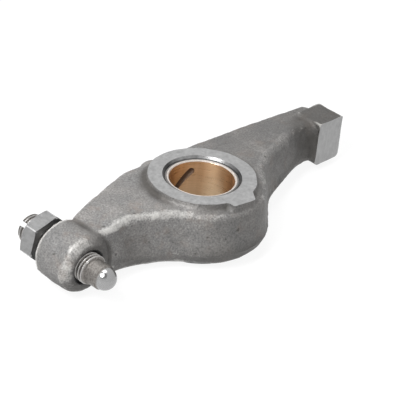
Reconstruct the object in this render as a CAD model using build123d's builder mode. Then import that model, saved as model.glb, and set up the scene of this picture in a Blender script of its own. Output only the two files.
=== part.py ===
from build123d import *
from math import radians, tan
import os

os.makedirs("parts", exist_ok=True)

# Engine rocker arm lying on its side, as in the photo. Millimetres.
# The origin is the centre of the shaft bore. +Z runs along the bore, +X towards the valve pad,
# and -Y towards the ball tip of the adjusting screw and the ground face of the pad.

# Boss and shaft bore
boss_d = 43.0
boss_l = 27.0
bush_od = 29.5
bush_bore_d = 26.0
bush_l = 25.0
bore_chamfer = 0.9
bush_chamfer = 0.4

# Arm. Its outline is the one at the line where the forging dies part.
arm_t = 23.0
arm_top_pad_end = 8.0
arm_under_pad_end = 9.2
taper_start_x = 22.0
belly_r = 28.4
belly_left_deg = -143.0
belly_right_deg = -72.0
shoulder_x = -33.5
shoulder_y = -9.6
neck_x = -46.0
neck_front_y = -6.0
neck_back_x = -42.0
neck_back_y = 17.0
neck_back_slope = 0.75
back_start_x = -17.0
back_start_slope = 0.1
back_rise = 0.4
arm_back_y = 23.2
flank_x = 31.2
flank_y = -9.4
long_arm_x = 50.0
long_arm_y = -0.9
arm_pad_front_y = 6.0
arm_tip_x = 86.5
tip_curve_x = 83.0
tip_curve_y = 17.0
front_round = 2.2
back_round = 2.0
boss_blend = 1.2

# Front wall of the arm: how far it leans back from the parting line to the top, and to the underside
parting_z = -5.5
left_lean = 2.8
right_lean = 4.8
pad_end_lean = 2.8
under_lean = 2.4
pad_end_under_lean = 1.2
# Radius of the hollow against the pad, as a share of the step from the wall to the pad's face
pad_hollow_share = 0.95

# Pad that pushes the valve
pad_w = 15.0
pad_d = 14.0
pad_h = 20.2
pad_x = 82.6
pad_z = -0.4
pad_face_y = 3.8
pad_round = 1.0
pad_lower_round = 2.0

# Screw end of the arm
screw_x = -63.6
screw_boss_d = 23.5
screw_boss_front_y = -6.5
screw_boss_back_y = 10.4
end_wall_step = 0.8
screw_boss_front_round = 4.0
screw_boss_back_round = 1.6
mouth_chamfer = 1.2
nut_seat_d = 21.4
nut_seat_depth = 8.0

# Tab at the front of the boss and lug at its back
tab_left_x = -6.2
tab_left_y = -23.5
tab_corner_x = 3.9
tab_corner_y = -25.0
tab_right_x = 7.0
tab_right_y = -20.7
tab_foot_z = 7.0
tab_foot_out = 0.9
lug_x = -5.8
lug_y = 19.4
lug_r = 6.6
lug_h = 21.0
lug_round = 2.0

# Oil way
oil_hole_d = 4.0
oil_hole_deg = 98.0
groove_w = 3.0
groove_depth = 1.1
groove_turn_deg = 70.0
groove_rise = 15.6

# Adjusting screw
thread_d = 12.0
thread_clearance = 0.05
shank_d = 9.8
ball_d = 9.0
thread_front_y = -8.2
shank_front_y = -14.6
ball_y = -15.1
screw_back_y = 27.4
screw_end_chamfer = 1.0
slot_w = 2.0
slot_depth = 5.4
slot_deg = 140.0

# Locknut
nut_af = 18.0
nut_t = 7.0
nut_seat_y = 15.0
nut_face_d = 16.6
nut_deg = 16.0
nut_corner_deg = 30.0

# How far an edge may lie from the place that it is picked by
near = 0.01
pick_band = 1.0

# Derived sizes
arm_half = arm_t / 2
boss_half = boss_l / 2
boss_r = boss_d / 2
bush_r = bush_od / 2
thread_r = thread_d / 2
screw_hole_r = thread_r + thread_clearance
inside_boss_y = -bush_r - 1
belly_turn_deg = belly_right_deg - belly_left_deg
pad_side_x = pad_x - pad_w / 2
end_wall_y = screw_boss_back_y - end_wall_step
arm_middle_y = (arm_pad_front_y + arm_back_y) / 2
oil_hole_reach = 2 * lug_y
nut_back_y = nut_seat_y + nut_t
nut_seat_edge_x = screw_x + nut_seat_d / 2
screw_axis = Axis((screw_x, 0, 0), (0, 1, 0))

# The forged arm with its bosses, pad, tab and lug is one piece
with BuildPart() as arm:
    # The same outline at the underside, the parting line and the top, its front further back at each end
    for level, left_back_by, right_back_by, end_back_by in (
        (-arm_half, under_lean, under_lean, pad_end_under_lean),
        (parting_z, 0, 0, 0),
        (arm_half, left_lean, right_lean, pad_end_lean),
    ):
        with BuildSketch(Plane.XY.offset(level)):
            with BuildLine():
                belly = CenterArc((0, 0), belly_r - left_back_by, belly_left_deg, belly_turn_deg)
                left_front = Spline(
                    belly @ 0,
                    (shoulder_x, shoulder_y + left_back_by),
                    (neck_x, neck_front_y + left_back_by),
                    tangents=[-(belly % 0), (-1, 0)],
                )
                left_end = Line(left_front @ 1, (screw_x, neck_front_y + left_back_by))
                end_wall = Line(left_end @ 1, (screw_x, end_wall_y))
                left_corner = Line(end_wall @ 1, (screw_x + thread_r / 2, end_wall_y))
                left_back = Spline(
                    left_corner @ 1,
                    (neck_back_x, neck_back_y),
                    (back_start_x, arm_back_y + back_rise),
                    tangents=[(1, neck_back_slope), (1, back_start_slope)],
                )
                back = Line(left_back @ 1, (tip_curve_x, arm_back_y))
                tip = Spline(back @ 1, (arm_tip_x, tip_curve_y), tangents=[(1, 0), (0, -1)])
                end_y = arm_pad_front_y + end_back_by
                hollow_r = pad_hollow_share * (end_y - pad_face_y)
                tip_end = Line(tip @ 1, (arm_tip_x, end_y - hollow_r))
                front_end = Line(tip_end @ 1, (pad_side_x, end_y - hollow_r))
                hollow = RadiusArc(front_end @ 1, (pad_side_x - hollow_r, end_y), -hollow_r)
                Spline(
                    belly @ 1,
                    (flank_x, flank_y + right_back_by),
                    (long_arm_x, long_arm_y + right_back_by),
                    hollow @ 1,
                    tangents=[belly % 1, (1, 0)],
                )
            make_face()
    loft(ruled=True)
    with BuildSketch(Plane.XZ):
        with BuildLine():
            Polyline(
                (2 * screw_x, -arm_half),
                (taper_start_x, -arm_half),
                (arm_tip_x, -arm_under_pad_end),
                (arm_tip_x, arm_top_pad_end),
                (taper_start_x, arm_half),
                (2 * screw_x, arm_half),
                close=True,
            )
        make_face()
    extrude(amount=2 * belly_r, both=True, mode=Mode.INTERSECT)
    rims = arm.edges().filter_by(lambda e: min(abs((e @ 0).Z), abs((e @ 1).Z)) > arm_top_pad_end - pick_band)
    rims = rims.filter_by(lambda e: screw_x + thread_r < (e @ 0.5).X < pad_side_x)
    fillet(rims.filter_by(lambda e: (e @ 0.5).Y < arm_middle_y), front_round)
    rims = arm.edges().filter_by(lambda e: min(abs((e @ 0).Z), abs((e @ 1).Z)) > arm_top_pad_end - pick_band)
    rims = rims.filter_by(lambda e: abs((e @ 1).X - (e @ 0).X) > pick_band)
    fillet(rims.filter_by(lambda e: (e @ 0.5).Y > arm_middle_y), back_round)
    # Boss with its machined faces, blended into the arm
    with BuildSketch(Plane.XZ):
        with BuildLine():
            lower = Polyline((0, -boss_half), (boss_r, -boss_half), (boss_r, -arm_half - boss_blend))
            foot = RadiusArc(lower @ 1, (boss_r + boss_blend, -arm_half), boss_blend)
            wall = Line(foot @ 1, (boss_r + boss_blend, arm_half))
            shoulder = RadiusArc(wall @ 1, (boss_r, arm_half + boss_blend), boss_blend)
            Polyline(shoulder @ 1, (boss_r, boss_half), (0, boss_half), lower @ 0)
        make_face()
    revolve(axis=Axis.Z)
    # Skewed tab on the upper side of the boss, running down into the front wall
    for level, out_by in ((tab_foot_z, tab_foot_out), (boss_half, 0)):
        with BuildSketch(Plane.XY.offset(level)):
            with BuildLine():
                Polyline(
                    (tab_left_x, inside_boss_y),
                    (tab_left_x, tab_left_y - out_by),
                    (tab_corner_x, tab_corner_y - out_by),
                    (tab_right_x, tab_right_y),
                    (tab_right_x, inside_boss_y),
                    close=True,
                )
            make_face()
    loft(ruled=True)
    # Upright lug over the oil hole
    with BuildSketch(Plane.XZ.offset(-lug_y)) as lug_profile:
        with Locations((lug_x + lug_r / 2, 0)):
            Rectangle(lug_r, lug_h)
        fillet(lug_profile.vertices().group_by(Axis.X)[-1], lug_round)
    revolve(axis=Axis((lug_x, lug_y, 0), (0, 0, 1)))
    # Round boss for the adjusting screw
    with BuildSketch(Plane.XY) as screw_boss:
        with BuildLine():
            Polyline(
                (screw_x, screw_boss_front_y),
                (screw_x - screw_boss_d / 2, screw_boss_front_y),
                (screw_x - screw_boss_d / 2, screw_boss_back_y),
                (screw_x, screw_boss_back_y),
                close=True,
            )
        make_face()
        outer = screw_boss.vertices().group_by(Axis.X)[0]
        fillet(outer.sort_by(Axis.Y)[0], screw_boss_front_round)
        outer = screw_boss.vertices().filter_by(lambda v: v.Y > screw_boss_back_y - near)
        fillet(outer.sort_by(Axis.X)[0], screw_boss_back_round)
    revolve(axis=screw_axis)
    # Pad block
    with BuildSketch(Plane.XZ.offset(-pad_face_y)) as pad_outline:
        with Locations((pad_x, pad_z)):
            Rectangle(pad_w, pad_h)
        fillet(pad_outline.vertices().group_by(Axis.Y)[-1], pad_round)
        fillet(pad_outline.vertices().group_by(Axis.Y)[0], pad_lower_round)
    extrude(amount=-pad_d)
    # Shaft bore with its entry chamfers
    with BuildSketch(Plane.XZ) as bore_profile:
        with BuildLine():
            Polyline(
                (0, -boss_half),
                (bush_r + bore_chamfer, -boss_half),
                (bush_r, -boss_half + bore_chamfer),
                (bush_r, boss_half - bore_chamfer),
                (bush_r + bore_chamfer, boss_half),
                (0, boss_half),
                close=True,
            )
        make_face()
    revolve(axis=Axis.Z, mode=Mode.SUBTRACT)
    # Flat seat for the locknut, milled across the arm
    with BuildSketch(Plane.XY.offset(-boss_half)):
        with Locations((nut_seat_edge_x, screw_boss_back_y)):
            Rectangle(2 * nut_seat_d, nut_seat_depth, align=(Align.MAX, Align.MIN))
    extrude(amount=boss_l, mode=Mode.SUBTRACT)
    # Screw hole with its countersunk mouths
    with BuildSketch(Plane.XY) as hole_profile:
        with BuildLine():
            Polyline(
                (screw_x, screw_boss_front_y),
                (screw_x + screw_hole_r + mouth_chamfer, screw_boss_front_y),
                (screw_x + screw_hole_r, screw_boss_front_y + mouth_chamfer),
                (screw_x + screw_hole_r, screw_boss_back_y - mouth_chamfer),
                (screw_x + screw_hole_r + mouth_chamfer, screw_boss_back_y),
                (screw_x, screw_boss_back_y),
                close=True,
            )
        make_face()
    revolve(axis=screw_axis, mode=Mode.SUBTRACT)
    # Oil hole from the bore out through the lug
    with BuildSketch(Plane.YZ.rotated((0, 0, oil_hole_deg))):
        Circle(oil_hole_d / 2)
    extrude(amount=oil_hole_reach, mode=Mode.SUBTRACT)
arm.part.label = "rocker_arm"
export_step(arm.part, "parts/rocker_arm.step")

# Steel backed bronze bush, pressed into the boss
with BuildPart() as bush:
    with BuildSketch(Plane.XY.offset(-bush_l / 2)):
        Circle(bush_r)
        Circle(bush_bore_d / 2, mode=Mode.SUBTRACT)
    extrude(amount=bush_l)
    chamfer(bush.edges().filter_by(GeomType.CIRCLE), bush_chamfer)
    with BuildSketch(Plane.YZ.rotated((0, 0, oil_hole_deg))):
        Circle(oil_hole_d / 2)
    extrude(amount=oil_hole_reach, mode=Mode.SUBTRACT)
    # Slanting oil groove with rounded ends, its middle at the oil hole
    groove_r = bush_bore_d / 2 + groove_depth - groove_w / 2
    with BuildLine() as groove:
        Spline([
            Vector(groove_r, 0, -groove_rise * t).rotate(Axis.Z, oil_hole_deg + groove_turn_deg * t)
            for t in (-0.5, -0.25, 0.0, 0.25, 0.5)
        ])
    with BuildSketch(Plane(origin=groove.line @ 0, z_dir=groove.line % 0)):
        Circle(groove_w / 2)
    sweep(path=groove.line, mode=Mode.SUBTRACT)
    with Locations(groove.line @ 0, groove.line @ 1):
        Sphere(groove_w / 2, mode=Mode.SUBTRACT)
bush.part.label = "bush"
export_step(bush.part, "parts/bush.step")

# Adjusting screw: its thread is a plain cylinder here, then a shank and a ball tip
with BuildPart() as screw:
    with BuildSketch(Plane.XY):
        with BuildLine():
            flank = Polyline(
                (screw_x, screw_back_y),
                (screw_x + thread_r - screw_end_chamfer, screw_back_y),
                (screw_x + thread_r, screw_back_y - screw_end_chamfer),
                (screw_x + thread_r, thread_front_y + thread_r - shank_d / 2),
                (screw_x + shank_d / 2, thread_front_y),
                (screw_x + shank_d / 2, shank_front_y),
                (screw_x + ball_d / 2, ball_y),
            )
            dome = CenterArc((screw_x, ball_y), ball_d / 2, 0, -90)
            Line(dome @ 1, flank @ 0)
        make_face()
    revolve(axis=screw_axis)
    # Screwdriver slot in the threaded end
    with BuildSketch(Plane.XZ.offset(-screw_back_y)):
        with Locations((screw_x, 0)):
            Rectangle(2 * thread_d, slot_w, rotation=slot_deg)
    extrude(amount=slot_depth, mode=Mode.SUBTRACT)
screw.part.label = "adjusting_screw"
export_step(screw.part, "parts/adjusting_screw.step")

# Locknut with its outer corners chamfered
with BuildPart() as nut:
    with BuildSketch(Plane.XZ.offset(-nut_seat_y)):
        with Locations((screw_x, 0)):
            RegularPolygon(nut_af / 2, 6, major_radius=False, rotation=nut_deg)
    extrude(amount=-nut_t)
    with BuildSketch(Plane.XY):
        with BuildLine():
            Polyline(
                (screw_x, nut_seat_y),
                (screw_x + nut_af, nut_seat_y),
                (screw_x + nut_af, nut_back_y - (nut_af - nut_face_d / 2) * tan(radians(nut_corner_deg))),
                (screw_x + nut_face_d / 2, nut_back_y),
                (screw_x, nut_back_y),
                close=True,
            )
        make_face()
    revolve(axis=screw_axis, mode=Mode.INTERSECT)
    with BuildSketch(Plane.XZ.offset(-nut_seat_y)):
        with Locations((screw_x, 0)):
            Circle(screw_hole_r)
    extrude(amount=-nut_t, mode=Mode.SUBTRACT)
nut.part.label = "locknut"
export_step(nut.part, "parts/locknut.step")
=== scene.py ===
import bpy
import numpy as np
from math import cos, pi, radians, sin, tan
from mathutils import Matrix, Vector


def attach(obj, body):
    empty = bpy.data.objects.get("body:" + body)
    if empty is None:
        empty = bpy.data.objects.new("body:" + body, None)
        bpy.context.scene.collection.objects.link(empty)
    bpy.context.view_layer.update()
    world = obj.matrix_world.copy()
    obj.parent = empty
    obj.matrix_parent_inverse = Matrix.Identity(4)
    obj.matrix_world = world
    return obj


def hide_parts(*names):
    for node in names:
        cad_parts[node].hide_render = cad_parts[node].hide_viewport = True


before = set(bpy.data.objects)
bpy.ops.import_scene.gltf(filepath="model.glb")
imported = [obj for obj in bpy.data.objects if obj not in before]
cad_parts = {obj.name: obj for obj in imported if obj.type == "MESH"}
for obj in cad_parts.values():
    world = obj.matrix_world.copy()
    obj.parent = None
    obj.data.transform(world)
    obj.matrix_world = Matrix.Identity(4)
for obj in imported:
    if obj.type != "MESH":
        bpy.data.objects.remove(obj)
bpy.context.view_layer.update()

# Sizes in millimetres, as in the part's source. Meshes are scaled to metres when they are made.
MM = 0.001

# How far cutters reach past the part
clear = 100.0

# Boss, shaft bore and bush
boss_r = 21.5
boss_half = 13.5
boss_draft = 0.05
boss_stock = 2.0
boss_round = 0.8
boss_weld = 2.2
bore_r = 14.75
bore_chamfer = 0.9
bush_bore_r = 13.0
bush_rim_r = 13.8
lining_half = 12.1

# Arm
arm_half = 11.5
arm_top_pad_end = 8.0
arm_under_pad_end = 9.2
taper_start_x = 22.0
taper_length = 66.0
taper_ease = 16.0
belly_r = 28.4
belly_left = radians(-143)
belly_right = radians(-72)
shoulder = (-33.5, -9.6)
neck_front = (-46.0, -6.0)
neck_back = (-42.0, 17.0)
neck_back_slope = 0.75
neck_dip = 1.2
neck_dip_length = 12.0
back_start = (-17.0, 23.6)
back_start_slope = 0.1
arm_back_y = 23.2
flank = (31.2, -9.4)
long_arm = (50.0, -0.9)
arm_pad_front_y = 6.0
pad_hollow_share = 0.95
arm_tip_x = 86.5
tip_curve = (83.0, 17.0)
tip_slope = -0.05
end_wall_y = 9.6
end_wall_w = 3.0
# Its middle line, which parts the front half from the back half
middle_x = [-60, -30, 0, 30, 60, 86]
middle_y = [3, 6, 2, 8, 13, 14]
middle_band = 8.0
# Roundings of its edges, the upper front one from the left arm over the belly to the long arm
front_round_x = [-32, -16, 12, 26]
front_round = [2.2, 3.0, 3.0, 2.4]
back_round = 2.4
under_round = 2.6

# Levels of the arm's outline, and how far its front is back from the parting line there:
# at the left and the belly, on the long arm, and at the pad
parting_z = -5.5
leans = {-arm_half: (2.4, 2.4, 1.2), parting_z: (0.0, 0.0, 0.0), arm_half: (2.8, 4.8, 2.8)}

# Screw end of the arm
screw_x = -63.6
screw_hole_r = 6.05
screw_boss_r = 11.75
screw_boss_front = -6.5
screw_boss_back = 10.4
screw_boss_front_round = 4.0
screw_boss_stock = 0.4
screw_boss_back_round = 0.5
screw_boss_weld = 0.8
mouth_chamfer = 1.2
seat_edge_x = -57.6
spot_face_r = 10.7
spot_face_depth = 8.0

# Pad
pad_low = (75.1, 3.8, -10.5)
pad_high = (90.1, 17.8, 9.7)
pad_upper_round = 0.8
pad_lower_round = 2.0
pad_weld = 1.4
grinding_stock = 1.5
ground_low = (73.5, -20.0, -12.0)
ground_high = (95.0, pad_low[1], 12.0)

# Tab and lug
tab_right = (7.0, -20.7)
tab_front = (3.9, -25.0)
tab_left = (-6.2, -23.5)
tab_lean = 0.19
tab_round = 0.8
tab_middle_z = 9.0
tab_half = 6.2
lug = (-5.8, 19.4)
lug_r = 6.6
lug_half = 10.5
lug_round = 2.0
side_weld = 2.5
oil_hole_r = 2.0
oil_hole_deg = 98.0

# Skin of the forging: how far its bumps stand on average below the solid's faces, and the trimmed flash
skin_depth = 0.12
flash_height = 0.28
flash_width = 0.55

# Adjusting screw
thread_r = 5.97
thread_depth = 0.92
thread_pitch = 1.5
shank_r = 4.9
ball_r = 4.5
ball_y = -15.1
shank_front = -14.6
thread_front = -9.3
screw_back = 27.4
screw_end_chamfer = 0.5
slot_w = 2.0
slot_depth = 5.4
slot_deg = 140.0

# Locknut
nut_af = 18.0
nut_t = 7.0
nut_seat = 15.0
nut_face_r = 8.3
nut_washer_r = 9.5
nut_bevel = 0.8
nut_mouth_r = 7.6
nut_deg = 16.0
nut_edge_r = 0.5
# Radius past which the nut's rounded upright edges get a painted highlight
nut_highlight_from_r = 9.95

# Camera, fitted to the photograph
camera_lens = 138.46
camera_place = (-399.15, -357.52, 330.39)
camera_azimuth, camera_elevation, camera_roll = radians(-48.534), radians(31.733), radians(-6.342)

# Grid of the forging's field
cell = 0.55
grid_low = np.array([-78.0, -31.5, -16.5])
grid_high = np.array([92.5, 28.5, 16.5])
count = np.ceil((grid_high - grid_low) / cell).astype(int) + 1
gx = (grid_low[0] + cell * np.arange(count[0]))[:, None, None].astype(np.float32)
gy = (grid_low[1] + cell * np.arange(count[1]))[None, :, None].astype(np.float32)
gz = (grid_low[2] + cell * np.arange(count[2]))[None, None, :].astype(np.float32)


# Mesh and boolean helpers

def mesh_object(name, verts, faces, smooth=True):
    data = bpy.data.meshes.new(name)
    data.from_pydata((np.asarray(verts) * MM).tolist(), [], [list(f) for f in faces])
    data.validate()
    data.polygons.foreach_set("use_smooth", [smooth] * len(data.polygons))
    obj = bpy.data.objects.new(name, data)
    bpy.context.scene.collection.objects.link(obj)
    return obj


def grid_faces(rows, columns):
    """Quads between rows of points, with the columns joined in a ring."""
    i, j = np.meshgrid(np.arange(rows - 1), np.arange(columns), indexing="ij")
    k = (j + 1) % columns
    a, b = i * columns, (i + 1) * columns
    return np.stack([a + j, b + j, b + k, a + k], -1).reshape(-1, 4).tolist()


def turned(profile, place, segments):
    """Solid of revolution from (radius, height) pairs, its two ends on the axis."""
    profile = np.array(profile, float)
    ring = np.linspace(0, 2 * pi, segments, endpoint=False)
    body = profile[1:-1]
    x = body[:, 0, None] * np.cos(ring)
    y = body[:, 0, None] * np.sin(ring)
    z = np.repeat(body[:, 1, None], segments, 1)
    verts = np.stack([x, y, z], -1).reshape(-1, 3)
    faces = grid_faces(len(body), segments)
    low, high = len(verts), len(verts) + 1
    verts = np.vstack([verts, [0, 0, profile[0, 1]], [0, 0, profile[-1, 1]]])
    top = (len(body) - 1) * segments
    for j in range(segments):
        k = (j + 1) % segments
        faces.append([low, j, k])
        faces.append([high, top + k, top + j])
    rotation = np.array(place.to_3x3())
    verts = verts @ rotation.T + np.array(place.translation)
    faces = [f[::-1] for f in faces]
    return mesh_object("cut", verts, faces, smooth=False)


def block(low, high, place=Matrix.Identity(4)):
    x, y, z = zip(low, high)
    verts = [place @ Vector((x[i], y[j], z[k])) for i in (0, 1) for j in (0, 1) for k in (0, 1)]
    faces = [(0, 1, 3, 2), (4, 6, 7, 5), (0, 4, 5, 1), (2, 3, 7, 6), (0, 2, 6, 4), (1, 5, 7, 3)]
    return mesh_object("cut", [tuple(v) for v in verts], faces, smooth=False)


def along_y(x=0.0):
    """Place whose local Z runs along +Y, with its axis at x."""
    return Matrix.Translation((x, 0, 0)) @ Matrix.Rotation(radians(-90), 4, "X")


def carve(obj, cutter, operation="DIFFERENCE"):
    """Cuts obj with cutter, or keeps what is inside it, and deletes the cutter."""
    step = obj.modifiers.new("carve", "BOOLEAN")
    step.object = cutter
    step.operation = operation
    step.solver = "MANIFOLD"
    done = obj.evaluated_get(bpy.context.evaluated_depsgraph_get())
    data = bpy.data.meshes.new_from_object(done)
    obj.modifiers.clear()
    old = obj.data
    obj.data = data
    bpy.data.meshes.remove(old)
    bpy.data.meshes.remove(cutter.data)


def points_of(obj):
    co = np.zeros(len(obj.data.vertices) * 3, np.float32)
    obj.data.vertices.foreach_get("co", co)
    return co.reshape(-1, 3) / MM


def of_faces(obj, what):
    """Centre or normal of each face, in metres."""
    values = np.zeros(len(obj.data.polygons) * 3, np.float32)
    obj.data.polygons.foreach_get(what, values)
    return values.reshape(-1, 3)


def store(obj, name, values):
    attribute = obj.data.attributes.new(name, "FLOAT", "POINT")
    attribute.data.foreach_set("value", np.asarray(values, np.float32))


# Materials

def grey(v):
    return (v, v, v)


def material(name):
    m = bpy.data.materials.new(name)
    m.use_nodes = True
    return m, m.node_tree.nodes, m.node_tree.links, m.node_tree.nodes["Principled BSDF"]


def set_input(links, socket, value):
    """Links the value to the socket, or sets the socket where the value is a number or a colour."""
    if isinstance(value, bpy.types.NodeSocket):
        links.new(value, socket)
    else:
        socket.default_value = (*value, 1) if isinstance(value, tuple) else value


def noise_node(nodes, links, scale, detail, stretch=None):
    """Noise of the object's own coordinates. scale counts waves in a metre."""
    place = nodes.new("ShaderNodeTexCoord")
    source = place.outputs["Object"]
    if stretch:
        mapping = nodes.new("ShaderNodeMapping")
        mapping.inputs["Scale"].default_value = stretch
        links.new(source, mapping.inputs["Vector"])
        source = mapping.outputs["Vector"]
    noise = nodes.new("ShaderNodeTexNoise")
    noise.inputs["Scale"].default_value = scale
    noise.inputs["Detail"].default_value = detail
    noise.inputs["Roughness"].default_value = 0.55
    links.new(source, noise.inputs["Vector"])
    return noise.outputs["Fac"]


def attribute(nodes, name):
    stored = nodes.new("ShaderNodeAttribute")
    stored.attribute_name = name
    return stored.outputs["Fac"]


def object_xyz(nodes, links):
    place = nodes.new("ShaderNodeTexCoord")
    split = nodes.new("ShaderNodeSeparateXYZ")
    links.new(place.outputs["Object"], split.inputs["Vector"])
    return split.outputs


def calculated(nodes, links, operation, *values):
    maths = nodes.new("ShaderNodeMath")
    maths.operation = operation
    for socket, value in zip(maths.inputs, values):
        set_input(links, socket, value)
    return maths.outputs[0]


def reach(nodes, links, direction, place="Object"):
    """How far a point lies in a direction from the origin, which is on the bore's axis."""
    start = nodes.new("ShaderNodeTexCoord")
    dot = nodes.new("ShaderNodeVectorMath")
    dot.operation = "DOT_PRODUCT"
    dot.inputs[1].default_value = direction
    links.new(start.outputs[place], dot.inputs[0])
    return dot.outputs["Value"]


def ramp(nodes, links, source, *stops):
    r = nodes.new("ShaderNodeValToRGB")
    elements = r.color_ramp.elements
    while len(elements) < len(stops):
        elements.new(0.5)
    for element, (position, colour) in zip(elements, stops):
        element.position = position
        element.color = (*colour, 1)
    links.new(source, r.inputs["Fac"])
    return r.outputs["Color"]


def mixed(nodes, links, share, a, b, mode="MIX"):
    mix = nodes.new("ShaderNodeMix")
    mix.data_type = "RGBA"
    mix.blend_type = mode
    set_input(links, mix.inputs["Factor"], share)
    set_input(links, mix.inputs["A"], a)
    set_input(links, mix.inputs["B"], b)
    return mix.outputs["Result"]


def scaled(nodes, links, source, low, high, to_low, to_high):
    """The source's range from low to high, moved to the range from to_low to to_high."""
    scale = nodes.new("ShaderNodeMapRange")
    links.new(source, scale.inputs["Value"])
    scale.inputs["From Min"].default_value = low
    scale.inputs["From Max"].default_value = high
    scale.inputs["To Min"].default_value = to_low
    scale.inputs["To Max"].default_value = to_high
    return scale.outputs["Result"]


def bump(nodes, links, height, distance, normal=None):
    b = nodes.new("ShaderNodeBump")
    b.inputs["Distance"].default_value = distance
    links.new(height, b.inputs["Height"])
    if normal is not None:
        links.new(normal, b.inputs["Normal"])
    return b.outputs["Normal"]


def forged_steel():
    """Blasted forging: warm patches, painted shade in hollows, mill scale with painted shade, ridges
    rubbed and painted with highlights, and small pits.
    """
    m, nodes, links, shader = material("forged_steel")
    grains = noise_node(nodes, links, 1500, 3)
    colour = ramp(nodes, links, grains, (0.3, grey(0.13)), (0.5, grey(0.205)), (0.72, grey(0.30)))
    clouds = noise_node(nodes, links, 90, 4)
    patches = ramp(nodes, links, clouds, (0.35, (0.78, 0.77, 0.76)), (0.65, (1.08, 1.04, 1.0)))
    colour = mixed(nodes, links, 1.0, colour, patches, "MULTIPLY")
    warm = scaled(nodes, links, noise_node(nodes, links, 160, 3), 0.55, 0.72, 0.0, 0.35)
    colour = mixed(nodes, links, warm, colour, (0.24, 0.185, 0.15))
    # Painted shade: darker in hollows and creases, after the stored hollow values
    painted_hollow_shade = scaled(nodes, links, attribute(nodes, "hollow"), -0.24, -0.02, 0.9, 0.0)
    colour = mixed(nodes, links, painted_hollow_shade, colour, (0.05, 0.045, 0.04))
    # Dark mill scale on the pad, and painted shade on the walls, the long arm and round the screw's mouth
    colour = mixed(nodes, links, attribute(nodes, "scale"), colour, (0.045, 0.042, 0.038))
    # Ridges lighter and smoother, as wear and as a painted highlight
    uneven = scaled(nodes, links, noise_node(nodes, links, 1500, 5), 0.3, 0.7, -0.09, 0.05)
    rubbed_and_highlit = calculated(nodes, links, "ADD", attribute(nodes, "ridge"), uneven)
    worn_and_highlit = scaled(nodes, links, rubbed_and_highlit, 0.09, 0.36, 0.0, 0.8)
    colour = mixed(nodes, links, worn_and_highlit, colour, (0.50, 0.49, 0.47))
    pitted = scaled(nodes, links, noise_node(nodes, links, 330, 1), 0.74, 0.79, 0.0, 0.7)
    colour = mixed(nodes, links, pitted, colour, (0.03, 0.028, 0.025))
    links.new(colour, shader.inputs["Base Color"])
    shader.inputs["Metallic"].default_value = 0.25
    links.new(scaled(nodes, links, worn_and_highlit, 0.0, 0.8, 0.55, 0.36), shader.inputs["Roughness"])
    fine = bump(nodes, links, noise_node(nodes, links, 1300, 3), 0.00011)
    coarse = bump(nodes, links, noise_node(nodes, links, 480, 3), 0.00016, fine)
    links.new(coarse, shader.inputs["Normal"])
    return m


def machined_steel(name, value, waves, cloud=0.82, painted_glint_brightness=None):
    """Steel of one brightness, with tool lines stretched by waves and patches as dark as cloud.

    The last argument, where given, is the brightness of a painted glint that the steel reaches towards +X
    and +Y of the bore.
    """
    m, nodes, links, shader = material(name)
    lines = noise_node(nodes, links, 900, 3, waves)
    colour = ramp(nodes, links, lines, (0.3, grey(value * 0.85)), (0.7, grey(value * 1.1)))
    if painted_glint_brightness is not None:
        # Painted glint, lighter towards +X and +Y of the bore
        painted_glint = scaled(nodes, links, reach(nodes, links, (0.75, 0.66, 0)), 0.006, 0.0135, 0.0, 1.0)
        colour = mixed(nodes, links, painted_glint, colour, grey(painted_glint_brightness))
    patches = ramp(nodes, links, noise_node(nodes, links, 420, 5), (0.32, grey(cloud)), (0.66, grey(1.06)))
    links.new(mixed(nodes, links, 1.0, colour, patches, "MULTIPLY"), shader.inputs["Base Color"])
    shader.inputs["Metallic"].default_value = 0.75
    links.new(scaled(nodes, links, lines, 0.3, 0.7, 0.30, 0.45), shader.inputs["Roughness"])
    links.new(bump(nodes, links, lines, 0.00003), shader.inputs["Normal"])
    return m


def bronze_lining(nodes, links, brushed, z, groove):
    """Bronze with a painted sheen along its far side, painted shade darker down the bore and painted light
    towards its top, and a dark oil groove whose darkness is partly painted shade.
    """
    bronze = ramp(nodes, links, brushed, (0.3, (0.51, 0.345, 0.205)), (0.7, (0.60, 0.415, 0.255)))
    bands = noise_node(nodes, links, 130, 3, (1, 1, 0.03))
    cloud = ramp(nodes, links, bands, (0.35, (0.84, 0.80, 0.76)), (0.65, (1.14, 1.13, 1.12)))
    bronze = mixed(nodes, links, 1.0, bronze, cloud, "MULTIPLY")
    # Painted sheen, a lighter band along the bore's far side
    painted_sheen = scaled(nodes, links, reach(nodes, links, (0.97, 0.25, 0)), 0.0116, 0.0129, 0.0, 0.34)
    bronze = mixed(nodes, links, painted_sheen, bronze, (0.80, 0.66, 0.46))
    # Painted shade darker down the bore, and painted light lighter towards its top
    height = scaled(nodes, links, z, -0.008, 0.010, 0.0, 1.0)
    shade_down_bore = ramp(nodes, links, height, (0.0, grey(0.58)), (1.0, grey(1.42)))
    bronze = mixed(nodes, links, 1.0, bronze, shade_down_bore, "MULTIPLY")
    # The oil groove is painted dark brown, partly as oil and partly as painted shade in the groove
    return mixed(nodes, links, groove, bronze, (0.13, 0.08, 0.05))


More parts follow.
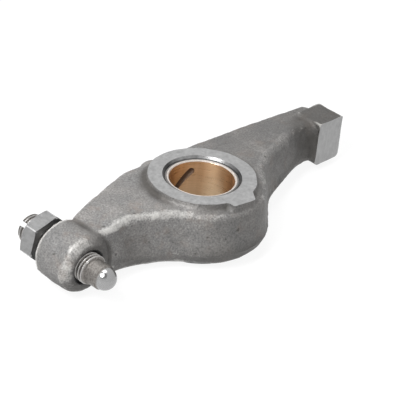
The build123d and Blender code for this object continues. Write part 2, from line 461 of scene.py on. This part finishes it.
def bush_metal():
    """Bronze lining with a steel rim, whose outer edge is painted dark as shade in the gap round the bush.
    The oil groove is told by its distance from the bore's axis.
    """
    m, nodes, links, shader = material("bush_metal")
    x, y, z = object_xyz(nodes, links)
    flat = nodes.new("ShaderNodeCombineXYZ")
    links.new(x, flat.inputs["X"])
    links.new(y, flat.inputs["Y"])
    length = nodes.new("ShaderNodeVectorMath")
    length.operation = "LENGTH"
    links.new(flat.outputs["Vector"], length.inputs[0])
    radius = length.outputs["Value"]
    height = calculated(nodes, links, "ABSOLUTE", z)
    lining = scaled(nodes, links, height, (lining_half - 0.02) * MM, (lining_half + 0.04) * MM, 1.0, 0.0)
    rim_before_painted_gap = scaled(nodes, links, radius, bush_rim_r * MM, (bush_rim_r + 0.05) * MM, 1.0, 0.0)
    groove = scaled(nodes, links, radius, (bush_bore_r + 0.02) * MM, (bush_bore_r + 0.1) * MM, 0.0, 1.0)
    brushed = noise_node(nodes, links, 500, 3, (0.25, 0.25, 6.0))
    bronze = bronze_lining(nodes, links, brushed, z, groove)
    grains = noise_node(nodes, links, 700, 3)
    steel = ramp(nodes, links, grains, (0.3, (0.44, 0.40, 0.37)), (0.7, (0.60, 0.55, 0.51)))
    # Painted shade: past the rim's radius the bush's outer edge is dark, as the gap round the bush is in
    # shade
    steel = mixed(nodes, links, rim_before_painted_gap, (0.14, 0.135, 0.13), steel)
    links.new(mixed(nodes, links, lining, steel, bronze), shader.inputs["Base Color"])
    links.new(scaled(nodes, links, groove, 0.0, 1.0, 0.95, 0.1), shader.inputs["Metallic"])
    polish = scaled(nodes, links, brushed, 0.3, 0.7, 0.26, 0.36)
    rough = calculated(nodes, links, "ADD", polish, scaled(nodes, links, groove, 0.0, 1.0, 0.0, 0.4))
    links.new(rough, shader.inputs["Roughness"])
    links.new(bump(nodes, links, brushed, 0.00002), shader.inputs["Normal"])
    shader.inputs["Anisotropic"].default_value = 0.8
    shader.inputs["Anisotropic Rotation"].default_value = 0.25
    along = nodes.new("ShaderNodeTangent")
    along.direction_type = "RADIAL"
    along.axis = "Z"
    links.new(along.outputs["Tangent"], shader.inputs["Tangent"])
    return m


def screw_steel():
    """Hardened steel, rough on the shank, rubbed and painted with highlights on the thread's crests and
    polished on the ball.
    """
    m, nodes, links, shader = material("screw_steel")
    ball = scaled(nodes, links, object_xyz(nodes, links)[1], -0.0158, -0.0150, 1.0, 0.0)
    speckle = noise_node(nodes, links, 1600, 3)
    shank = ramp(nodes, links, speckle, (0.3, (0.13, 0.12, 0.11)), (0.7, (0.27, 0.255, 0.24)))
    # Thread crests lighter than the roots, as wear and as a painted highlight
    rubbed_and_highlit = scaled(nodes, links, attribute(nodes, "crest"), 0.45, 0.95, 0.0, 0.85)
    shank = mixed(nodes, links, rubbed_and_highlit, shank, (0.52, 0.51, 0.50))
    links.new(mixed(nodes, links, ball, shank, grey(0.34)), shader.inputs["Base Color"])
    shader.inputs["Metallic"].default_value = 0.9
    links.new(scaled(nodes, links, ball, 0.0, 1.0, 0.42, 0.20), shader.inputs["Roughness"])
    links.new(bump(nodes, links, speckle, 0.00004), shader.inputs["Normal"])
    return m


# The raw forging as a field of distances on a grid

def run(points, start, end, steps=16):
    """Smooth curve through the points, with its direction given at both ends."""
    p = np.array(points, float)
    t = np.concatenate([[0], np.cumsum(np.linalg.norm(np.diff(p, axis=0), axis=1))])
    a = np.eye(len(p))
    b = np.zeros_like(p)
    b[0] = np.array(start) / np.hypot(*start)
    b[-1] = np.array(end) / np.hypot(*end)
    for i in range(1, len(p) - 1):
        before, after = t[i] - t[i - 1], t[i + 1] - t[i]
        a[i, i - 1:i + 2] = after, 2 * (before + after), before
        b[i] = 3 * (after * (p[i] - p[i - 1]) / before + before * (p[i + 1] - p[i]) / after)
    m = np.linalg.solve(a, b)
    out = []
    for i in range(len(p) - 1):
        span = t[i + 1] - t[i]
        for u in np.arange(steps) / steps:
            out.append((2 * u**3 - 3 * u**2 + 1) * p[i] + (u**3 - 2 * u**2 + u) * span * m[i]
                       + (3 * u**2 - 2 * u**3) * p[i + 1] + (u**3 - u**2) * span * m[i + 1])
    return out + [p[-1]]


def outline(left_by, right_by, end_by):
    """The arm's outline at one level, after the solid's curves."""
    angles = np.linspace(belly_left, belly_right, 40)
    belly = [(belly_r - left_by) * np.array([cos(a), sin(a)]) for a in angles]
    side, far = (shoulder[0], left_by + shoulder[1]), (neck_front[0], left_by + neck_front[1])
    left_stops = [belly[0], side, far]
    left_front = run(left_stops, (sin(belly_left), -cos(belly_left)), (-1, 0))
    end_y = arm_pad_front_y + end_by
    hollow_r = pad_hollow_share * (end_y - pad_low[1])
    hollow = [(pad_low[0] + hollow_r * (sin(a) - 1), end_y + hollow_r * (cos(a) - 1))
              for a in np.linspace(0, pi / 2, 8)]
    side, far = (flank[0], right_by + flank[1]), (long_arm[0], right_by + long_arm[1])
    right_stops = [belly[-1], side, far, hollow[0]]
    right_front = run(right_stops, (-sin(belly_right), cos(belly_right)), (1, 0))
    tip = run([(tip_curve[0], arm_back_y), (arm_tip_x, tip_curve[1])], (1, tip_slope), (0, -1))
    left_back = run([(screw_x + end_wall_w, end_wall_y), neck_back, back_start],
                    (1, neck_back_slope), (1, back_start_slope))
    points = belly + right_front[1:] + hollow[1:] + [(arm_tip_x, end_y - hollow_r)] + tip[::-1]
    points += left_back[::-1] + [(screw_x, end_wall_y), (screw_x, left_by + neck_front[1])]
    points += left_front[::-1][:-1]
    return np.array([tuple(p) for p in points])


def plan_distance(points):
    """Distance to the outline in the XY plane, negative inside it."""
    x, y = gx[:, :, 0], gy[:, :, 0]
    nearest = np.full((count[0], count[1]), 1e9, np.float32)
    inside = np.zeros(nearest.shape, bool)
    for (ax, ay), (bx, by) in zip(points, np.roll(points, -1, axis=0)):
        dx, dy = bx - ax, by - ay
        length = dx * dx + dy * dy
        if length < 1e-9:
            continue
        t = np.clip(((x - ax) * dx + (y - ay) * dy) / length, 0, 1)
        nearest = np.minimum(nearest, (x - ax - t * dx)**2 + (y - ay - t * dy)**2)
        if ay != by:
            inside ^= ((y < ay) != (y < by)) & (x < ax + (y - ay) * dx / dy)
    nearest = np.sqrt(nearest)
    return np.where(inside, -nearest, nearest)[:, :, None]


def rounded(a, b, r):
    """Where two half spaces meet, with their corner rounded."""
    p, q = a + r, b + r
    return np.hypot(np.maximum(p, 0), np.maximum(q, 0)) + np.minimum(np.maximum(p, q), 0) - r


def welded(a, b, r):
    """Union with a hollow fillet where the two surfaces cross, and none where they run side by side."""
    ga, gb = np.gradient(a, cell), np.gradient(b, cell)
    along = ga[0] * gb[0] + ga[1] * gb[1] + ga[2] * gb[2]
    k = r * np.clip(1.0 - along, 0.0, 1.0) + 1e-3
    t = np.clip(0.5 + 0.5 * (b - a) / k, 0, 1)
    return b + (a - b) * t - k * t * (1 - t)


def low_pass(values, reach_squared):
    """The field with its short waves damped."""
    spectrum = np.fft.rfftn(values)
    kx = np.fft.fftfreq(count[0], cell)[:, None, None]
    ky = np.fft.fftfreq(count[1], cell)[None, :, None]
    kz = np.fft.rfftfreq(count[2], cell)[None, None, :]
    spectrum *= np.exp(-reach_squared * pi**2 * (kx**2 + ky**2 + kz**2))
    return np.fft.irfftn(spectrum, tuple(count)).astype(np.float32)


def soft_noise(size, seed):
    """Smooth random bumps about as wide as size, with a standard deviation of 1."""
    values = np.random.default_rng(seed).standard_normal(tuple(count), dtype=np.float32)
    values = low_pass(values, size**2 / 4)
    return values / values.std()


def blurred(values, size):
    """Gaussian blur with a standard deviation of size."""
    return low_pass(values, 2 * size**2)


def between(level_a, level_b):
    """The wall that joins the outlines of two levels with straight lines."""
    a, b = (plan_distance(outline(*leans[level])) for level in (level_a, level_b))
    height = level_b - level_a
    steep = np.clip((b - a) / height, -0.5, 0.5)
    return (a + (b - a) * (gz - level_a) / height) / np.hypot(1, steep)


def to_the_back(x, y):
    """0 on the front half of the arm and 1 on its back half, with a soft band between them."""
    return np.clip((y - np.interp(x, middle_x, middle_y)) / middle_band + 0.5, 0, 1)


def arm_field():
    share = 0.5 * (gx - taper_start_x + np.hypot(gx - taper_start_x, taper_ease)) / taper_length
    # Both faces dip before the screw boss, which stands a little proud of them
    dip = neck_dip * np.clip((neck_back[0] - gx) / neck_dip_length, 0, 1)**1.5
    top = gz - arm_half - (arm_top_pad_end - arm_half) * share + dip
    under = -gz - arm_half - (arm_under_pad_end - arm_half) * share + dip
    # The dies part low on the front wall, which leans back above and below that line
    above = between(parting_z, arm_half)
    below = between(parting_z, -arm_half)
    wall = np.where(gz > parting_z, above, below).astype(np.float32)
    front = np.interp(gx, front_round_x, front_round)
    top_round = (front + (back_round - front) * to_the_back(gx, gy)).astype(np.float32)
    return rounded(wall, np.maximum(top, under), np.where(gz > 0, top_round, under_round))


def tab_side(a, b, lean):
    """Distance from a side of the tab, which runs from a to b in plan and leans out downwards."""
    dx, dy = b[0] - a[0], b[1] - a[1]
    out = ((gx - a[0]) * -dy + (gy - a[1]) * dx) / np.hypot(dx, dy)
    return out - lean * (boss_half - gz)


def tab_field():
    """Skewed tab that carries the front wall on up to the boss face."""
    tab = rounded(tab_side(tab_right, tab_front, 0.0), tab_side(tab_front, tab_left, tab_lean), tab_round)
    tab = rounded(tab, tab_left[0] - gx, tab_round)
    return np.maximum(np.maximum(tab, gy + bore_r), np.abs(gz - tab_middle_z) - tab_half)


def pad_field():
    side = np.abs(gx - (pad_low[0] + pad_high[0]) / 2) - (pad_high[0] - pad_low[0]) / 2
    end = np.maximum(gz - pad_high[2], pad_low[2] - gz)
    pad = rounded(side, end, np.where(gz > 0, pad_upper_round, pad_lower_round))
    pad = rounded(pad, gy - pad_high[1], pad_upper_round)
    return np.maximum(pad, pad_low[1] - grinding_stock - gy)


def forging_field():
    """The raw forging. Its bosses and pad stand past their finished faces, which are cut afterwards."""
    draft = boss_draft * (boss_half - np.abs(gz))
    boss = rounded(np.hypot(gx, gy) - boss_r - draft, np.abs(gz) - boss_half - boss_stock, boss_round)
    raw = welded(arm_field(), boss, boss_weld)
    raw = welded(raw, tab_field(), side_weld)
    lug_field = rounded(np.hypot(gx - lug[0], gy - lug[1]) - lug_r, np.abs(gz) - lug_half, lug_round)
    raw = welded(raw, lug_field, side_weld)
    # The screw boss is round about the screw's axis
    across = np.hypot(gx - screw_x, gz)
    screw_boss = rounded(across - screw_boss_r, screw_boss_front - gy, screw_boss_front_round)
    screw_boss = rounded(screw_boss, gy - screw_boss_back - screw_boss_stock, screw_boss_back_round)
    raw = welded(raw, screw_boss, screw_boss_weld)
    return welded(raw, pad_field(), pad_weld)


def surface_net(field):
    """One point in each cell that the surface crosses, and a quad round each crossed grid edge."""
    n = np.array(field.shape)
    inside = field < 0
    corner = [(i, j, k) for i in (0, 1) for j in (0, 1) for k in (0, 1)]

    def at(values, c):
        return values[c[0]:n[0] - 1 + c[0], c[1]:n[1] - 1 + c[1], c[2]:n[2] - 1 + c[2]]

    filled = sum(at(inside, c).astype(np.int8) for c in corner)
    cells = np.argwhere((filled > 0) & (filled < 8))
    number = np.full(tuple(n - 1), -1, np.int64)
    number[tuple(cells.T)] = np.arange(len(cells))
    total = np.zeros((len(cells), 3))
    hits = np.zeros(len(cells))
    for c in corner:
        for axis in range(3):
            if c[axis]:
                continue
            a = field[tuple((cells + c).T)]
            other = np.array(c)
            other[axis] = 1
            b = field[tuple((cells + other).T)]
            crossed = (a < 0) != (b < 0)
            point = np.tile(np.array(c, float), (len(cells), 1))
            point[:, axis] = np.where(crossed, a / np.where(crossed, a - b, 1), 0)
            total += point * crossed[:, None]
            hits += crossed
    verts = grid_low + cell * (cells + total / hits[:, None])
    faces = []
    for axis in range(3):
        u, v = [(1, 2), (2, 0), (0, 1)][axis]
        near = [slice(1, n[0] - 1), slice(1, n[1] - 1), slice(1, n[2] - 1)]
        near[axis] = slice(0, n[axis] - 1)
        far = list(near)
        far[axis] = slice(1, n[axis])
        a, b = inside[tuple(near)], inside[tuple(far)]
        start = np.array([s.start for s in near])
        for forward in (True, False):
            where = np.argwhere((a & ~b) if forward else (~a & b)) + start
            ring = []
            for du, dv in ((-1, -1), (0, -1), (0, 0), (-1, 0)):
                spot = where.copy()
                spot[:, u] += du
                spot[:, v] += dv
                ring.append(number[tuple(spot.T)])
            quad = np.stack(ring, 1)
            faces.append(quad if forward else quad[:, ::-1])
    return verts, np.vstack(faces)


def sampled(values, points):
    """Values of the grid at any points, by linear steps."""
    spot = np.clip((points - grid_low) / cell, 0, count - 1.001)
    base = spot.astype(int)
    part = spot - base
    out = np.zeros(len(points))
    for c in [(i, j, k) for i in (0, 1) for j in (0, 1) for k in (0, 1)]:
        weight = np.prod(np.where(np.array(c), part, 1 - part), axis=1)
        out += weight * values[tuple((base + c).T)]
    return out


def cut_finished(body):
    """Finished faces and holes cut into the forging."""
    carve(body, block((-clear, -clear, boss_half), (clear, clear, clear)))
    carve(body, block((-clear, -clear, -clear), (clear, clear, -boss_half)))
    carve(body, block(ground_low, ground_high))
    seat_back = screw_boss_back + spot_face_depth
    carve(body, block((-clear, screw_boss_back, -clear), (seat_edge_x, seat_back, clear)))
    spot = [(0, screw_boss_back), (spot_face_r, screw_boss_back), (spot_face_r, seat_back), (0, seat_back)]
    carve(body, turned(spot, along_y(screw_x), 128))
    bore = [
        (0, -20),
        (bore_r + bore_chamfer, -20),
        (bore_r + bore_chamfer, -boss_half),
        (bore_r, -boss_half + bore_chamfer),
    ]
    bore += [(r, -z) for r, z in bore[::-1]]
    carve(body, turned(bore, Matrix.Identity(4), 256))
    mouth = screw_hole_r + mouth_chamfer
    hole = [
        (0, -30),
        (mouth, -30),
        (mouth, screw_boss_front),
        (screw_hole_r, screw_boss_front + mouth_chamfer),
        (screw_hole_r, screw_boss_back - mouth_chamfer),
        (mouth, screw_boss_back),
        (0, screw_boss_back),
    ]
    carve(body, turned(hole, along_y(screw_x), 128))
    oil = Matrix.Rotation(radians(oil_hole_deg - 90), 4, "Z") @ along_y()
    carve(body, turned([(0, 5), (oil_hole_r, 5), (oil_hole_r, 40), (0, 40)], oil, 48))


def rise(values, start, width):
    """0 up to start, and 1 from width past it."""
    return np.clip((values - start) / width, 0, 1)


def fall(values, end, width):
    """1 up to width short of end, and 0 past it."""
    return np.clip((end - values) / width, 0, 1)


def bell(values, middle, width):
    return np.exp(-((values - middle) / width)**2)


def weather(body, ridge_field, hollow_field):
    """Stores where the forging is rubbed and painted with highlights, where it has painted shade, and
    where it is dark with mill scale.
    """
    points = points_of(body)
    x, y, z = points.T
    around_screw = np.hypot(x - screw_x, z)
    front = 1 - to_the_back(x, y)
    ridge = sampled(ridge_field, points)
    # Rubbed and painted with highlights along the front edges, and less along the back, the flash, the tab
    # and the long arm
    rubbed_and_highlit = ridge - 0.16 * (1 - front) * (x < 74)
    rubbed_and_highlit -= 0.16 * bell(z, parting_z, 1.0) * (x > -50)
    rubbed_and_highlit -= 0.40 * ((y < -18) & (np.abs(x) < 9) & (z > 8))
    rubbed_and_highlit -= 0.10 * (x > 74) + 0.17 * rise(x, 18, 10)
    rubbed_and_highlit -= 0.14 * (y < -15) * rise(x, -24, 6)
    at_mouth = (around_screw < 12.5) & (y < 0)
    rubbed_and_highlit -= at_mouth * (0.05 + 0.20 * rise(x, screw_x - 2, 6) + 0.09 * fall(z, 0, 6))
    rubbed_and_highlit += 0.3 * (x > 74) * bell(y, pad_low[1], 0.3)
    store(body, "ridge", rubbed_and_highlit)
    # Painted shade in the hollows and in the crease before the screw boss, and little of it at the boss's
    # left foot
    crease = bell(x, -58.6, 2.4) * (np.abs(z) > 6) * (y > -5)
    foot = bell(np.arctan2(y, x), -2.62, 0.5) * (np.hypot(x, y) < 26)
    store(body, "hollow", sampled(hollow_field, points) * (1 - 0.8 * foot) - 0.10 * crease)
    # Painted shade on the front wall, on the long arm, near the pad, under the belly and round the screw's
    # mouth
    front_wall = front * fall(np.abs(z), 10.6, 2)
    belly_wall = 0.36 * rise(x, -25, 12) * (1 - 0.6 * rise(x, 20, 10))
    painted_shade = front_wall * (0.24 * bell(x, -41, 9) + belly_wall + 0.45 * fall(z, -1, 6))
    long_arm_edge = rise(ridge, 0, 0.16) * front * fall(x, 64, 8)
    painted_shade += 0.30 * rise(x, 16, 8) * (1 - long_arm_edge)
    painted_shade += (0.15 + 0.60 * front) * bell(x, 73, 8)
    painted_shade += 0.46 * (np.abs(z) > 10.6) * fall(y, -13, 3) * rise(x, -22, 6)
    painted_shade += fall(around_screw, 12.9, 0.6) * (0.10 + 0.42 * rise(x, screw_x, 5) + 0.20 * fall(z, 0, 8))
    painted_shade += 0.55 * fall(around_screw, 9.4, 1.5) * (y < -4)
    # Dark mill scale left on the pad's unground sides
    on_pad = rise(x, 74.6, 1.5) * fall(y, 19.5, 2)
    # The scale attribute holds this mill scale and the painted shade together
    store(body, "scale", np.clip(np.maximum(0.75 * on_pad, painted_shade), 0, 0.75))


def finish(body):
    """Gives the cut faces the look of machined steel. The bore's chamfer, the screw hole and the screw's
    seat are painted dark as shade, with a painted glint on the bore chamfer's far side.
    """
    forged, boss_face, ground_pad, shaded_cut = range(4)
    centres = of_faces(body, "center") / MM
    x, y, z = centres.T
    facing_front = of_faces(body, "normal")[:, 1] < -0.9
    finish_of = np.full(len(centres), forged, np.int32)
    finish_of[np.abs(z) > boss_half - 0.02] = boss_face
    finish_of[(np.hypot(x, y) < bore_r + bore_chamfer + 0.02) & (np.abs(z) < boss_half - 0.02)] = shaded_cut
    finish_of[(np.abs(y - pad_low[1]) < 0.02) & (x > 73) & facing_front] = ground_pad
    in_screw_hole = np.hypot(x - screw_x, z) < screw_hole_r + mouth_chamfer + 0.01
    finish_of[in_screw_hole & (np.abs(y) < 12)] = shaded_cut
    finish_of[(x < -50) & (np.abs(y - screw_boss_back) < 0.02)] = shaded_cut
    body.data.materials.clear()
    for m in (
        forged_steel(),
        machined_steel("boss_face_steel", 0.37, (1, 1, 1)),
        machined_steel("ground_pad_steel", 0.33, (1, 1, 0.4), 0.97),
        # Painted shade: dark steel for the bore's chamfer, the screw hole and the screw's seat, with a
        # painted glint towards +X and +Y of the bore
        machined_steel("shaded_chamfer_steel", 0.045, (1, 1, 1), 0.6, 0.29),
    ):
        body.data.materials.append(m)
    body.data.polygons.foreach_set("material_index", finish_of)


def rocker_body():
    field = forging_field()
    waves = soft_noise(9.0, 11)
    lumps = soft_noise(3.0, 12)
    grain = soft_noise(1.5, 13)
    field += skin_depth + 0.10 * waves + 0.05 * lumps + 0.03 * grain
    ridge_field = 1.5 * (blurred(field, 1.0) - field)
    # Trimmed flash along the parting line
    field -= flash_height * bell(gz, parting_z, flash_width) * np.clip(0.6 + 0.5 * waves, 0, 1)
    hollow_field = blurred(field, 2.4) / 2.4
    body = mesh_object("rocker_body", *surface_net(field))
    cut_finished(body)
    weather(body, ridge_field, hollow_field)
    body.data.set_sharp_from_angle(angle=radians(32))
    finish(body)
    return body


# Adjusting screw with its real thread, and its locknut

def screw_radius(y, angle):
    body_r = np.interp(y, [ball_y, shank_front, thread_front, thread_front + 0.5],
                       [ball_r, shank_r, shank_r, thread_r])
    back = screw_back - y
    body_r = np.where(back < screw_end_chamfer, thread_r - screw_end_chamfer + back, body_r)
    turn = (y / thread_pitch - angle / (2 * pi)) % 1.0
    crest = np.clip((np.abs(turn - 0.5) * 2 - 0.14) / 0.68, 0, 1)
    fade = np.clip((y - thread_front - 0.2) / 0.4, 0, 1)
    cut = np.where(y > thread_front, thread_depth * (1 - crest) * fade, 0)
    return np.minimum(body_r, thread_r - cut)


def adjusting_screw():
    columns = 96
    rows_y = np.concatenate([
        ball_y - ball_r * np.cos(np.linspace(0, pi / 2, 24)[1:-1]),
        np.linspace(ball_y, thread_front, 24)[:-1],
        np.arange(thread_front, screw_back, 0.125),
        [screw_back],
    ])
    angle = np.linspace(0, 2 * pi, columns, endpoint=False)[None, :]
    rows = rows_y[:, None]
    ball = np.sqrt(np.maximum(ball_r**2 - (rows - ball_y)**2, 0))
    radii = np.where(rows < ball_y, ball + 0 * angle, screw_radius(rows, angle))
    x, z = screw_x + radii * np.cos(angle), radii * np.sin(angle)
    verts = np.stack([x, np.repeat(rows, columns, 1), z], -1).reshape(-1, 3)
    verts = np.vstack([verts, [screw_x, ball_y - ball_r, 0], [screw_x, screw_back, 0]])
    faces = grid_faces(len(rows_y), columns)
    tip, end = len(verts) - 2, len(verts) - 1
    last = (len(rows_y) - 1) * columns
    for j in range(columns):
        k = (j + 1) % columns
        faces.append([tip, j, k])
        faces.append([end, last + k, last + j])
    screw = mesh_object("screw_turned", verts, faces)
    slot_place = Matrix.Translation((screw_x, 0, 0)) @ Matrix.Rotation(-radians(slot_deg), 4, "Y")
    slot_low, slot_high = (-20, screw_back - slot_depth, -slot_w / 2), (20, screw_back + 5, slot_w / 2)
    carve(screw, block(slot_low, slot_high, slot_place))
    x, y, z = points_of(screw).T
    height = np.hypot(x - screw_x, z) - thread_r + thread_depth
    store(screw, "crest", np.clip(height / thread_depth, 0, 1) * (y > thread_front))
    screw.data.set_sharp_from_angle(angle=radians(35))
    return screw


def locknut():
    """Hexagon nut with rounded upright edges, chamfered corners and a countersunk bore."""
    corner_r = nut_af / 2 / cos(pi / 6)
    centre = corner_r - nut_edge_r / cos(pi / 6)
    ring = []
    for i in range(6):
        corner = radians(nut_deg + 60 * i)
        for turn in np.radians([-30, -15, 0, 15, 30]):
            x = centre * cos(corner) + nut_edge_r * cos(corner + turn)
            z = centre * sin(corner) + nut_edge_r * sin(corner + turn)
            ring.append((screw_x + x, z))
    n = len(ring)
    nut_back = nut_seat + nut_t
    verts = [(x, y, z) for y in (nut_seat, nut_back) for x, z in ring]
    faces = [tuple(range(n)), tuple(range(2 * n - 1, n - 1, -1))]
    faces += [(i, i + n, (i + 1) % n + n, (i + 1) % n) for i in range(n)]
    nut = mesh_object("nut_forged", verts, faces, smooth=False)
    clear_r = corner_r + 1
    drop = (clear_r - nut_face_r) * tan(pi / 6)
    cone = [
        (0, nut_seat - 1),
        (nut_washer_r, nut_seat - 1),
        (nut_washer_r, nut_seat),
        (clear_r, nut_seat + nut_bevel),
        (clear_r, nut_back - drop),
        (nut_face_r, nut_back),
        (0, nut_back),
    ]
    carve(nut, turned(cone, along_y(screw_x), 128), "INTERSECT")
    opening = [
        (0, nut_seat - 1),
        (nut_mouth_r, nut_seat - 1),
        (screw_hole_r, nut_seat + nut_bevel),
        (screw_hole_r, nut_back - nut_bevel),
        (nut_mouth_r, nut_back + 1),
        (0, nut_back + 1),
    ]
    carve(nut, turned(opening, along_y(screw_x), 128))
    nut.data.set_sharp_from_angle(angle=radians(20))
    x, _, z = of_faces(nut, "center").T / MM
    # Painted highlight: the rounded upright edges get the lighter steel
    edge_highlight = np.hypot(x - screw_x, z) > nut_highlight_from_r
    nut.data.polygons.foreach_set("material_index", edge_highlight.astype(np.int32))
    return nut


body, screw, nut = rocker_body(), adjusting_screw(), locknut()
nut_waves = (1, 0.4, 1)
nut_finishes = [
    machined_steel("nut_steel", 0.26, nut_waves, 0.92),
    # Lighter steel as a painted highlight on the nut's rounded upright edges
    machined_steel("nut_edge_highlight_steel", 0.60, nut_waves),
]
for piece, finishes in (
    (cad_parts["bush"], [bush_metal()]),
    (screw, [screw_steel()]),
    (nut, nut_finishes),
):
    material_of = np.zeros(len(piece.data.polygons), np.int32)
    piece.data.polygons.foreach_get("material_index", material_of)
    piece.data.materials.clear()
    for metal in finishes:
        piece.data.materials.append(metal)
    piece.data.polygons.foreach_set("material_index", np.minimum(material_of, len(finishes) - 1))

for piece, node, rides_on, finish_slot in (
    (body, "rocker_arm", "arm", "forging"),
    (screw, "adjusting_screw", "screw", "screw_steel"),
    (nut, "locknut", "nut", "nut_steel"),
):
    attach(piece, rides_on)
    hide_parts(node)


# Camera at the photograph's angle, light and surroundings

def place_camera():
    data = bpy.data.cameras.new("camera")
    data.sensor_width = 36.0
    data.lens = camera_lens
    data.clip_start = 0.01
    data.clip_end = 20.0
    camera = bpy.data.objects.new("camera", data)
    side, climb = camera_azimuth, camera_elevation
    back = Vector((sin(side) * cos(climb), -cos(side) * cos(climb), sin(climb)))
    right = Vector((cos(side), sin(side), 0))
    up = back.cross(right)
    tilt_cos, tilt_sin = cos(camera_roll), sin(camera_roll)
    up, right = up * tilt_cos + right * tilt_sin, right * tilt_cos - up * tilt_sin
    turn = Matrix((right, up, back)).transposed().to_4x4()
    camera.matrix_world = Matrix.Translation(Vector(camera_place) * MM) @ turn
    bpy.context.scene.collection.objects.link(camera)
    bpy.context.scene.camera = camera


def soft_light(name, direction, distance, size, power):
    data = bpy.data.lights.new(name, "AREA")
    data.shape = "DISK"
    data.size = size
    data.energy = power
    light = bpy.data.objects.new(name, data)
    towards = Vector(direction).normalized()
    turn = towards.to_track_quat("Z", "Y").to_matrix().to_4x4()
    light.matrix_world = Matrix.Translation(towards * distance) @ turn
    bpy.context.scene.collection.objects.link(light)


def white_rays(nodes, links):
    """1 for camera, glossy and transmission rays, which see plain white."""
    seen = nodes.new("ShaderNodeLightPath").outputs
    first = calculated(nodes, links, "MAXIMUM", seen["Is Camera Ray"], seen["Is Glossy Ray"])
    return calculated(nodes, links, "MAXIMUM", first, seen["Is Transmission Ray"])


def studio_world():
    world = bpy.data.worlds.new("studio")
    world.use_nodes = True
    nodes, links = world.node_tree.nodes, world.node_tree.links
    background = nodes["Background"]
    # Polished metal mirrors white paper round about, and a darker patch where the boss face looks
    patch = Vector((-0.5, -0.15, 0.85)).normalized()
    near_patch = scaled(nodes, links, reach(nodes, links, patch, "Generated"), 0.80, 0.88, 0.0, 0.85)
    glossy = nodes.new("ShaderNodeLightPath").outputs["Is Glossy Ray"]
    dark = calculated(nodes, links, "MULTIPLY", near_patch, glossy)
    links.new(mixed(nodes, links, dark, grey(1.0), grey(0.0)), background.inputs["Color"])
    strength = scaled(nodes, links, white_rays(nodes, links), 0.0, 1.0, 0.36, 1.0)
    links.new(strength, background.inputs["Strength"])
    bpy.context.scene.world = world


def white_floor():
    """Pale floor that glows a little for the rays that see white, so that it shows only a soft shadow."""
    corners = [(-3000, -3000, 0), (3000, -3000, 0), (3000, 3000, 0), (-3000, 3000, 0)]
    floor = mesh_object("floor", corners, [(0, 1, 2, 3)])
    floor.data.transform(Matrix.Translation((0, 0, -boss_half * MM - 0.00005)))
    m, nodes, links, shader = material("floor_white")
    shader.inputs["Base Color"].default_value = (0.92, 0.92, 0.92, 1)
    shader.inputs["Roughness"].default_value = 0.9
    shader.inputs["Specular IOR Level"].default_value = 0.1
    glow = nodes.new("ShaderNodeEmission")
    glow.inputs["Color"].default_value = (1, 1, 1, 1)
    glow.inputs["Strength"].default_value = 1.06
    mix = nodes.new("ShaderNodeMixShader")
    links.new(calculated(nodes, links, "MULTIPLY", white_rays(nodes, links), 0.85), mix.inputs["Fac"])
    links.new(shader.outputs["BSDF"], mix.inputs[1])
    links.new(glow.outputs["Emission"], mix.inputs[2])
    links.new(mix.outputs["Shader"], nodes["Material Output"].inputs["Surface"])
    floor.data.materials.append(m)


place_camera()
studio_world()
white_floor()
soft_light("key", direction=(-1.0, -0.05, 1.1), distance=0.5, size=0.22, power=2.6)
soft_light("top", direction=(0.0, 0.2, 1.0), distance=0.9, size=0.5, power=3.2)
bpy.context.scene.view_settings.view_transform = "Standard"
